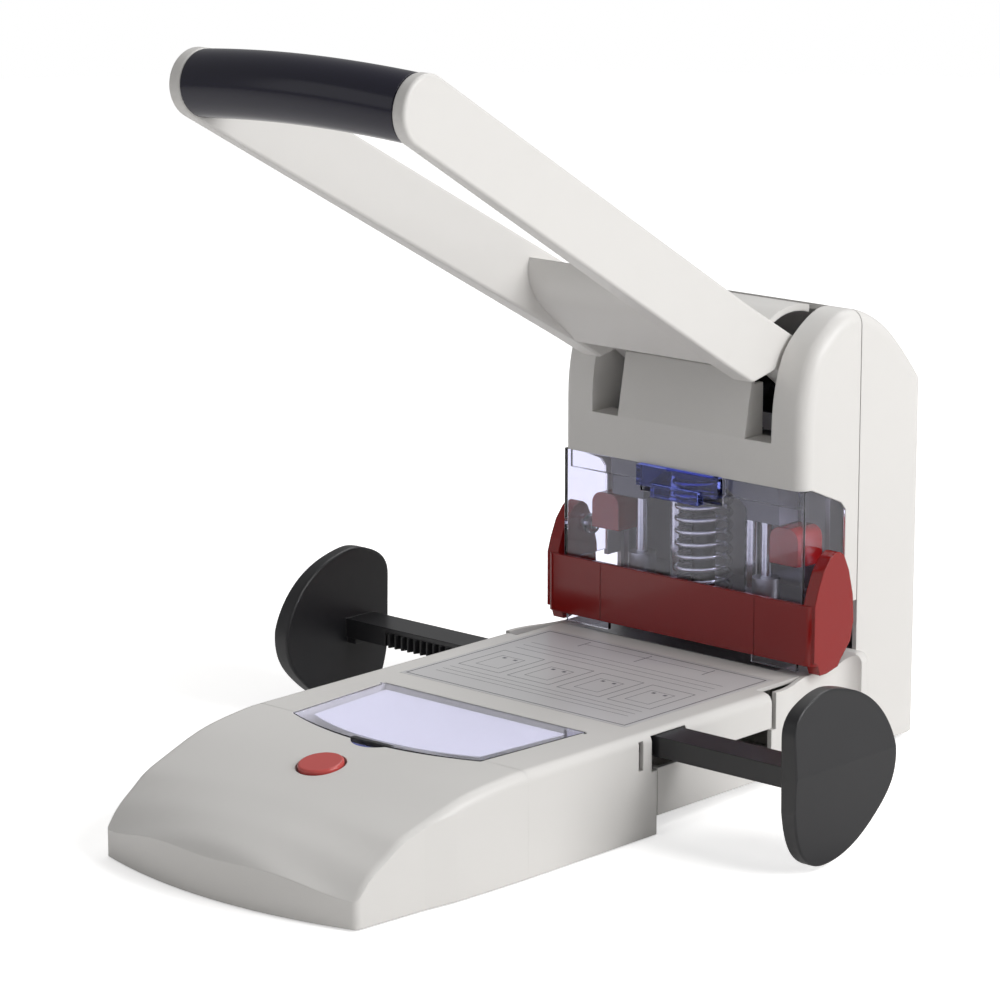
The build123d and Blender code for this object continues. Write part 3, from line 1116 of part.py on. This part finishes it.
# ---------------------------------------------------------------- write the parts
PARTS = {
    "front_housing": front_housing,
    "table_label": table_label,
    "compartment_lid": compartment_lid,
    "lid_tab": lid_tab,
    "lid_card": lid_card,
    "spare_punches": spare_punches,
    "push_button": push_button,
    "base_tray": base_tray,
    "chip_drawer": chip_drawer,
    "base_plate": base_plate,
    "rubber_feet": rubber_feet,
    "base_screws": base_screws,
    "gauge_right": lambda: gauge(1),
    "gauge_left": lambda: gauge(-1),
    "gauge_pinion": gauge_pinion,
    "pinion_screw": pinion_screw,
    "tower_front_shell": tower_front_shell,
    "tower_rear_shell": tower_rear_shell,
    "shell_screws": shell_screws,
    "side_frame_right": lambda: side_frame(1),
    "side_frame_left": lambda: side_frame(-1),
    "shaft_bush_right": lambda: shaft_bush(1),
    "shaft_bush_left": lambda: shaft_bush(-1),
    "tie_brackets": tie_brackets,
    "stripper_plate": stripper_plate,
    "guide_rods": guide_rods,
    "spring_post": spring_post,
    "anvil": anvil,
    "back_stop": back_stop,
    "crosshead": crosshead,
    "punch_right": lambda: punch(1),
    "punch_left": lambda: punch(-1),
    "punch_clip_right": lambda: punch_clip(1),
    "punch_clip_left": lambda: punch_clip(-1),
    "return_spring": return_spring,
    "lever": lever,
    "lever_grip": lever_grip,
    "grip_rod": grip_rod,
    "pivot_shaft": pivot_shaft,
    "gear_sector": gear_sector,
    "shaft_nuts": shaft_nuts,
    "guard": guard,
    "guard_latch": guard_latch,
    "hold_down_bar": hold_down_bar,
    "hold_down_pads": hold_down_pads,
    "hold_down_pins": hold_down_pins,
}

os.makedirs("parts", exist_ok=True)
for name, make in PARTS.items():
    solid = make()
    if isinstance(solid, list):
        solid = Compound(children=solid)
    export_step(solid, os.path.join("parts", name + ".step"))
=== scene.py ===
import bpy
import bmesh
from math import radians
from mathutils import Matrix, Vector


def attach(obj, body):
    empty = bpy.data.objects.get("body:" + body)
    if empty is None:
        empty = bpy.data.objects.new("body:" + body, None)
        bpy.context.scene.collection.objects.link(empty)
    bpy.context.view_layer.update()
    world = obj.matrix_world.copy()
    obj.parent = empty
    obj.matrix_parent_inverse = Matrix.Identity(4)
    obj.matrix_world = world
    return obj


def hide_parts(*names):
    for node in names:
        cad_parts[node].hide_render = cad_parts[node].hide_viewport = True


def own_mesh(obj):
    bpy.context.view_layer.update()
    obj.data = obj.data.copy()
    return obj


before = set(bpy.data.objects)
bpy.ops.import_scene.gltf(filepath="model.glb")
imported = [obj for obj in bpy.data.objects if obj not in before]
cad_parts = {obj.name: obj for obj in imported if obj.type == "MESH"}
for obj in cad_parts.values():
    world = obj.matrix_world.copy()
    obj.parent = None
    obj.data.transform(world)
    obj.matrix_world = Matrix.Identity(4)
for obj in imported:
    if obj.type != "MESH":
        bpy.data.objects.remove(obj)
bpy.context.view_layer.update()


# ---------------------------------------------------------------- camera
# A long lens a little above the table, at the front right corner of the machine.
# The place was solved from the photograph's own lines: 42 degrees round, 13 degrees up, 2 m away.
camera_data = bpy.data.cameras.new("camera")
camera_data.sensor_width = 36.0
camera_data.lens = 150.1
camera = bpy.data.objects.new("camera", camera_data)
camera.location = (1.27827, -1.43311, 0.58818)
camera.rotation_euler = (radians(90 - 12.97), 0.0, radians(42.13))
bpy.context.scene.collection.objects.link(camera)
bpy.context.scene.camera = camera
bpy.context.scene.view_settings.view_transform = "Standard"


# ---------------------------------------------------------------- studio
# White paper floor under a big softbox at the right, with a weak one at the front left.
# The floor and the air are white to the eye and to reflections, but give the object plain light only.
def linear(hex_colour):
    """An sRGB hex value as the linear colour that a socket takes."""
    parts = [int(hex_colour[i:i + 2], 16) / 255 for i in (1, 3, 5)]
    return [c / 12.92 if c <= 0.04045 else ((c + 0.055) / 1.055) ** 2.4 for c in parts] + [1.0]


def add(tree, kind, inputs=None, **settings):
    """Adds one node. Its sockets take values, or the sockets that feed them."""
    made = tree.nodes.new("ShaderNode" + kind)
    for name, value in settings.items():
        setattr(made, name, value)
    for socket, value in (inputs or {}).items():
        if isinstance(value, bpy.types.NodeSocket):
            tree.links.new(value, made.inputs[socket])
        else:
            made.inputs[socket].default_value = value
    return made


FLOOR_RADIUS = 2.8
PAPER = linear("#F4F3F2")
SEEN_LIFT = 0.55            # white added to the floor for the eye, so that the lit paper is white

floor_mesh = bpy.data.meshes.new("floor")
floor_form = bmesh.new()
bmesh.ops.create_circle(floor_form, cap_ends=True, segments=96, radius=FLOOR_RADIUS)
floor_form.to_mesh(floor_mesh)
floor_form.free()
floor = bpy.data.objects.new("floor", floor_mesh)
bpy.context.scene.collection.objects.link(floor)

paper = bpy.data.materials.new("seamless_paper")
paper.use_nodes = True
tree = paper.node_tree
tree.nodes.clear()
matt = add(tree, "BsdfDiffuse", {"Color": PAPER, "Roughness": 0.6})
glow = add(tree, "Emission", {"Color": (1, 1, 1, 1), "Strength": SEEN_LIFT})
both = add(tree, "AddShader", {0: matt.outputs[0], 1: glow.outputs[0]})
rays = add(tree, "LightPath")
seen = add(tree, "Math", {0: rays.outputs["Is Camera Ray"], 1: rays.outputs["Is Transmission Ray"]},
           operation="MAXIMUM")
mix = add(tree, "MixShader", {"Fac": seen.outputs[0], 1: matt.outputs[0], 2: both.outputs[0]})
add(tree, "OutputMaterial", {"Surface": mix.outputs[0]})
floor.data.materials.append(paper)

AIR_SEEN = 1.0
AIR_LIGHT = 0.30

world = bpy.data.worlds.new("studio_air")
bpy.context.scene.world = world
world.use_nodes = True
tree = world.node_tree
tree.nodes.clear()
rays = add(tree, "LightPath")
seen = add(tree, "Math", {0: rays.outputs["Is Camera Ray"], 1: rays.outputs["Is Transmission Ray"]},
           operation="MAXIMUM")
strength = add(tree, "MapRange", {"Value": seen.outputs[0], "To Min": AIR_LIGHT, "To Max": AIR_SEEN})
air = add(tree, "Background", {"Color": (1, 1, 1, 1), "Strength": strength.outputs[0]})
add(tree, "OutputWorld", {"Surface": air.outputs[0]})


def softbox(name, place, aim, width, watts):
    """A square diffused lamp that faces a point."""
    data = bpy.data.lights.new(name, "AREA")
    data.shape = "SQUARE"
    data.size = width
    data.energy = watts
    lamp = bpy.data.objects.new(name, data)
    lamp.location = place
    lamp.rotation_euler = (Vector(aim) - Vector(place)).to_track_quat("-Z", "Y").to_euler()
    bpy.context.scene.collection.objects.link(lamp)


MIDDLE = (0.0, 0.0, 0.15)
softbox("key_right", (2.0, 0.5, 1.3), MIDDLE, 1.4, 42.0)
softbox("top_back", (-0.3, 1.2, 2.0), MIDDLE, 1.6, 19.0)
softbox("fill_front", (-1.2, -2.0, 0.9), MIDDLE, 1.2, 1.5)


# ---------------------------------------------------------------- front housing, tray and drawer
# The nose, paper table, lower tray and chip drawer are moulded ABS in a light warm grey.
# A spark-eroded mould leaves a fine grain that breaks up the shine; handling leaves faint duller clouds.
BEVEL_SAMPLES = 4
GRAIN_STRENGTH = 0.35
GRAIN_DEPTH_MM = 0.05
CLOUD_MM = 60
SHINE_SWING = 0.05          # roughness either side of its middle value


def grown_normal(tree, place, grain_mm, depth_mm, edge_mm):
    """Softened edges with a moulded grain over them, as one normal."""
    edge = add(tree, "Bevel", {"Radius": edge_mm / 1000}, samples=BEVEL_SAMPLES)
    grain = add(tree, "TexNoise", {"Vector": place, "Scale": 1000 / grain_mm, "Detail": 2.0})
    bump = add(tree, "Bump", {"Height": grain.outputs["Fac"], "Strength": GRAIN_STRENGTH,
                              "Distance": depth_mm / 1000, "Normal": edge.outputs[0]})
    return bump.outputs[0]


def moulded(name, colour, grain_mm, gloss, edge_mm, ior, cloud=0.03):
    """Moulded plastic: grain, soft edges, faint clouds of colour and of shine."""
    material = bpy.data.materials.new(name)
    material.use_nodes = True
    tree = material.node_tree
    tree.nodes.clear()
    place = add(tree, "TexCoord").outputs["Object"]
    clouds = add(tree, "TexNoise", {"Vector": place, "Scale": 1000 / CLOUD_MM, "Detail": 3.0})
    base = linear(colour)
    dark = [c * (1 - cloud) for c in base[:3]] + [1.0]
    tint = add(tree, "Mix", {"Factor": clouds.outputs["Fac"], "A": base, "B": dark}, data_type="RGBA")
    shine = add(tree, "MapRange", {"Value": clouds.outputs["Fac"], "To Min": gloss - SHINE_SWING,
                                   "To Max": gloss + SHINE_SWING})
    surface = add(tree, "BsdfPrincipled", {
        "Base Color": tint.outputs[2], "Roughness": shine.outputs[0], "IOR": ior,
        "Normal": grown_normal(tree, place, grain_mm, GRAIN_DEPTH_MM, edge_mm)})
    add(tree, "OutputMaterial", {"Surface": surface.outputs[0]})
    return material


def dress(material, *nodes):
    """Gives CAD nodes their finish."""
    for name in nodes:
        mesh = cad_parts[name].data
        mesh.materials.clear()
        mesh.materials.append(material)


ABS_GREY = "#DEDCD9"
GRAIN_MM = 0.9              # the real grain is about 0.3 mm, too fine to show
light_abs = moulded("abs_warm_grey", ABS_GREY, GRAIN_MM, 0.42, 0.7, 1.53)
dress(light_abs, "front_housing", "base_tray", "chip_drawer", "tower_front_shell", "tower_rear_shell")


# ---------------------------------------------------------------- printed table sheet
# A polyester sheet, printed grey and let into the table; its gloss is lower than the lid's.
# The line drawings on it are plain boxes, pages and rules, drawn as flat ink strips with no lettering.
label_sheet = moulded("printed_polyester", "#D2D1D2", 0.6, 0.3, 0.15, 1.57, cloud=0.01)
dress(label_sheet, "table_label")


def ink_strips(name, strips, material):
    """Flat printed strips on the sheet; each is x, y of two opposite corners, in millimetres."""
    form = bmesh.new()
    for x0, y0, x1, y1 in strips:
        corners = [(x0, y0), (x1, y0), (x1, y1), (x0, y1)]
        form.faces.new([form.verts.new((x / 1000, y / 1000, SHEET_TOP)) for x, y in corners])
    mesh = bpy.data.meshes.new(name)
    form.to_mesh(mesh)
    form.free()
    piece = bpy.data.objects.new(name, mesh)
    bpy.context.scene.collection.objects.link(piece)
    mesh.materials.append(material)
    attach(piece, "base")


SHEET_TOP = 0.05102         # just proud of the sheet, in metres; the rest of this section is in millimetres
SHEET_FRONT = -11.0
SHEET_REAR = 95.0
SHEET_HALF = 70.0
FRAME_W = 0.7
INK_W = 0.5
RULE_W = 0.4

PICTURES = 4
PRINT_LEFT = -62.0
PICTURE_PITCH = 32.0
PICTURE_W = 27.0
PICTURE_LOW = 18.0
PICTURE_HIGH = 52.0
PAGE_INSET = 6.0            # page inside its picture, at the sides and below
PAGE_HEAD = 8.0
HOLE = 2.0
HOLE_INSET = 3.0
RULES = (2, 7, 12, 60, 66, 72)
PRINT_RIGHT = PRINT_LEFT + (PICTURES - 1) * PICTURE_PITCH + PICTURE_W

HOLE_PITCH = 80.0
MARK_W = 0.6
MARK_TOP = 92.0
MARK_LOW = 82.0
CENTRE_LOW = 78.0
MARK_BAR = 87.0


def ring(x0, y0, x1, y1, w=INK_W):
    """Four strips round a rectangle."""
    return [(x0, y0, x1, y0 + w), (x0, y1 - w, x1, y1), (x0, y0, x0 + w, y1), (x1 - w, y0, x1, y1)]


lines = ring(-SHEET_HALF, SHEET_FRONT, SHEET_HALF, SHEET_REAR, FRAME_W)
# picture boxes in a row, each with a sheet of paper and its two holes
for i in range(PICTURES):
    left = PRINT_LEFT + i * PICTURE_PITCH
    right = left + PICTURE_W
    page_top = PICTURE_HIGH - PAGE_HEAD
    lines += ring(left, PICTURE_LOW, right, PICTURE_HIGH)
    lines += ring(left + PAGE_INSET, PICTURE_LOW + PAGE_INSET, right - PAGE_INSET, page_top, RULE_W)
    for x in (left + PAGE_INSET + HOLE_INSET, right - PAGE_INSET - HOLE_INSET - HOLE):
        lines.append((x, page_top - 2 * HOLE, x + HOLE, page_top - HOLE))
# rules of a blank table, then the marks of the two holes and of the middle
lines += [(PRINT_LEFT, y, PRINT_RIGHT, y + RULE_W) for y in RULES]
for x, low in ((0, CENTRE_LOW), (-HOLE_PITCH / 2, MARK_LOW), (HOLE_PITCH / 2, MARK_LOW)):
    lines.append((x - MARK_W / 2, low, x + MARK_W / 2, MARK_TOP))
lines.append((-HOLE_PITCH / 2, MARK_BAR, HOLE_PITCH / 2, MARK_BAR + RULE_W))
ink = moulded("printing_ink_grey", "#5C5C66", 0.8, 0.4, 0.05, 1.5, cloud=0.05)
ink_strips("sheet_print", lines, ink)


# ---------------------------------------------------------------- side gauges
# Bars, teeth and paddles are one moulding in black glass-filled nylon, satin where the mould was polished.
black_nylon = moulded("nylon_black", "#202023", 0.8, 0.34, 0.8, 1.53, cloud=0.1)
dress(black_nylon, "gauge_right", "gauge_left", "gauge_pinion")


# ---------------------------------------------------------------- red pieces
# The hold-down bar, the punch clips and the button are ABS in a deep red, moulded glossy.
red_abs = moulded("abs_deep_red", "#8E1412", 1.2, 0.14, 0.9, 1.53, cloud=0.06)
dress(red_abs, "hold_down_bar", "punch_clip_right", "punch_clip_left")
button_red = moulded("abs_button_red", "#C8524E", 1.0, 0.24, 0.6, 1.53, cloud=0.04)
dress(button_red, "push_button")


# ---------------------------------------------------------------- clear pieces
# The guard, the pads and the lid are clear styrene acrylonitrile with a lavender tint.
# The latch and the lid's tab are the same plastic in blue. Light passes them as it passes a tinted film.
CLEAR_IOR = 1.49


def clear_plastic(name, tint, edge_mm, haze):
    """Clear moulded plastic, tinted through its thickness."""
    material = bpy.data.materials.new(name)
    material.use_nodes = True
    tree = material.node_tree
    tree.nodes.clear()
    edge = add(tree, "Bevel", {"Radius": edge_mm / 1000}, samples=BEVEL_SAMPLES)
    surface = add(tree, "BsdfPrincipled", {
        "Base Color": linear(tint), "Roughness": haze, "IOR": CLEAR_IOR, "Transmission Weight": 1.0,
        "Normal": edge.outputs[0]})
    clear = add(tree, "BsdfTransparent", {"Color": linear(tint)})
    rays = add(tree, "LightPath")
    shadow = add(tree, "MixShader", {"Fac": rays.outputs["Is Shadow Ray"], 1: surface.outputs[0],
                                     2: clear.outputs[0]})
    add(tree, "OutputMaterial", {"Surface": shadow.outputs[0]})
    return material


clear_san = clear_plastic("san_clear_lavender", "#EAEAF8", 0.5, 0.02)
dress(clear_san, "guard", "hold_down_pads")
lid_san = clear_plastic("san_clear_lid", "#F1F1FB", 0.4, 0.02)
dress(lid_san, "compartment_lid")
blue_san = clear_plastic("san_blue", "#7480DA", 0.5, 0.04)
dress(blue_san, "guard_latch", "lid_tab")


# ---------------------------------------------------------------- card under the lid
# A blank card that lies loose against the lid, a hair below it, so that the lid reads as a layer over it.
# It is the CAD card lowered by a thin film of air, in uncoated white board.
AIR_FILM = 0.0003


def cad_copy(name, node, drop=0.0):
    """A piece with the form of a CAD node, lowered by a given drop."""
    form = bmesh.new()
    form.from_mesh(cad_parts[node].data)
    bmesh.ops.translate(form, vec=(0.0, 0.0, -drop), verts=form.verts)
    mesh = bpy.data.meshes.new(name)
    form.to_mesh(mesh)
    form.free()
    piece = bpy.data.objects.new(name, mesh)
    piece.matrix_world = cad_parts[node].matrix_world.copy()
    bpy.context.scene.collection.objects.link(piece)
    return piece


blank_card = cad_copy("blank_card", "lid_card", AIR_FILM)
card_board = moulded("card_white", "#DEDDE3", 0.5, 0.7, 0.05, 1.5, cloud=0.01)
blank_card.data.materials.append(card_board)
dress(card_board, "lid_card")
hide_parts("lid_card")
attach(blank_card, "lid_body")


# ---------------------------------------------------------------- steel and castings
# Frames, plate and ties are rolled steel, zinc plated: a low grey shine with faint cloudy spangle.
PLATING_SWING = 0.08
PLATING_DEPTH_MM = 0.03


def metal(name, colour, shine, grain_mm, edge_mm):
    """A bare or plated metal with a fine surface of its own."""
    material = bpy.data.materials.new(name)
    material.use_nodes = True
    tree = material.node_tree
    tree.nodes.clear()
    place = add(tree, "TexCoord").outputs["Object"]
    grain = add(tree, "TexNoise", {"Vector": place, "Scale": 1000 / grain_mm, "Detail": 4.0})
    rough = add(tree, "MapRange", {"Value": grain.outputs["Fac"], "To Min": shine - PLATING_SWING,
                                   "To Max": shine + PLATING_SWING})
    surface = add(tree, "BsdfPrincipled", {
        "Base Color": linear(colour), "Metallic": 1.0, "Roughness": rough.outputs[0],
        "Normal": grown_normal(tree, place, grain_mm, PLATING_DEPTH_MM, edge_mm)})
    add(tree, "OutputMaterial", {"Surface": surface.outputs[0]})
    return material


zinc = metal("steel_zinc_plated", "#B9BABD", 0.38, 3.0, 0.3)
dress(zinc, "base_plate", "side_frame_right", "side_frame_left", "tie_brackets", "back_stop",
      "stripper_plate", "anvil", "shaft_nuts", "base_screws", "shell_screws", "pinion_screw")
black_steel = metal("steel_blackened", "#3A3A3D", 0.42, 2.0, 0.4)
dress(black_steel, "spring_post", "gear_sector")
ground_steel = metal("steel_ground", "#C9C9CC", 0.18, 1.5, 0.2)
dress(ground_steel, "guide_rods", "pivot_shaft", "grip_rod", "hold_down_pins", "punch_right",
      "punch_left", "spare_punches", "return_spring")
brass = metal("brass_turned", "#C8A860", 0.3, 1.5, 0.3)
dress(brass, "shaft_bush_right", "shaft_bush_left")
casting = moulded("aluminium_cast_grey_paint", "#77777A", 1.2, 0.5, 0.8, 1.5, cloud=0.12)
dress(casting, "crosshead")


# ---------------------------------------------------------------- return spring
# Drawn steel wire, seated between the stripper plate and the crosshead's hub.
# Its coils close up with the stroke; here it is a plain copy of the CAD coil, given a mesh of its own.
coil = cad_copy("return_coil", "return_spring")
coil.data.materials.append(ground_steel)
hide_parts("return_spring")
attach(coil, "base")
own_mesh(coil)


# ---------------------------------------------------------------- lever and grip
# The lever is an aluminium casting under a smooth warm-grey powder coat.
powder_coat = moulded("powder_coat_warm_grey", "#DEDCD9", 1.1, 0.36, 1.2, 1.52)
dress(powder_coat, "lever")
# The grip is a polished nylon sleeve, so dark a navy that it reads black.
navy_nylon = moulded("nylon_navy", "#16142A", 1.5, 0.16, 0.8, 1.53, cloud=0.15)
dress(navy_nylon, "lever_grip")


# ---------------------------------------------------------------- feet
# Four pressed rubber feet, matt black, fixed under the base plate.
rubber = moulded("rubber_black", "#1A1A1A", 0.8, 0.8, 0.8, 1.52, cloud=0.1)
dress(rubber, "rubber_feet")
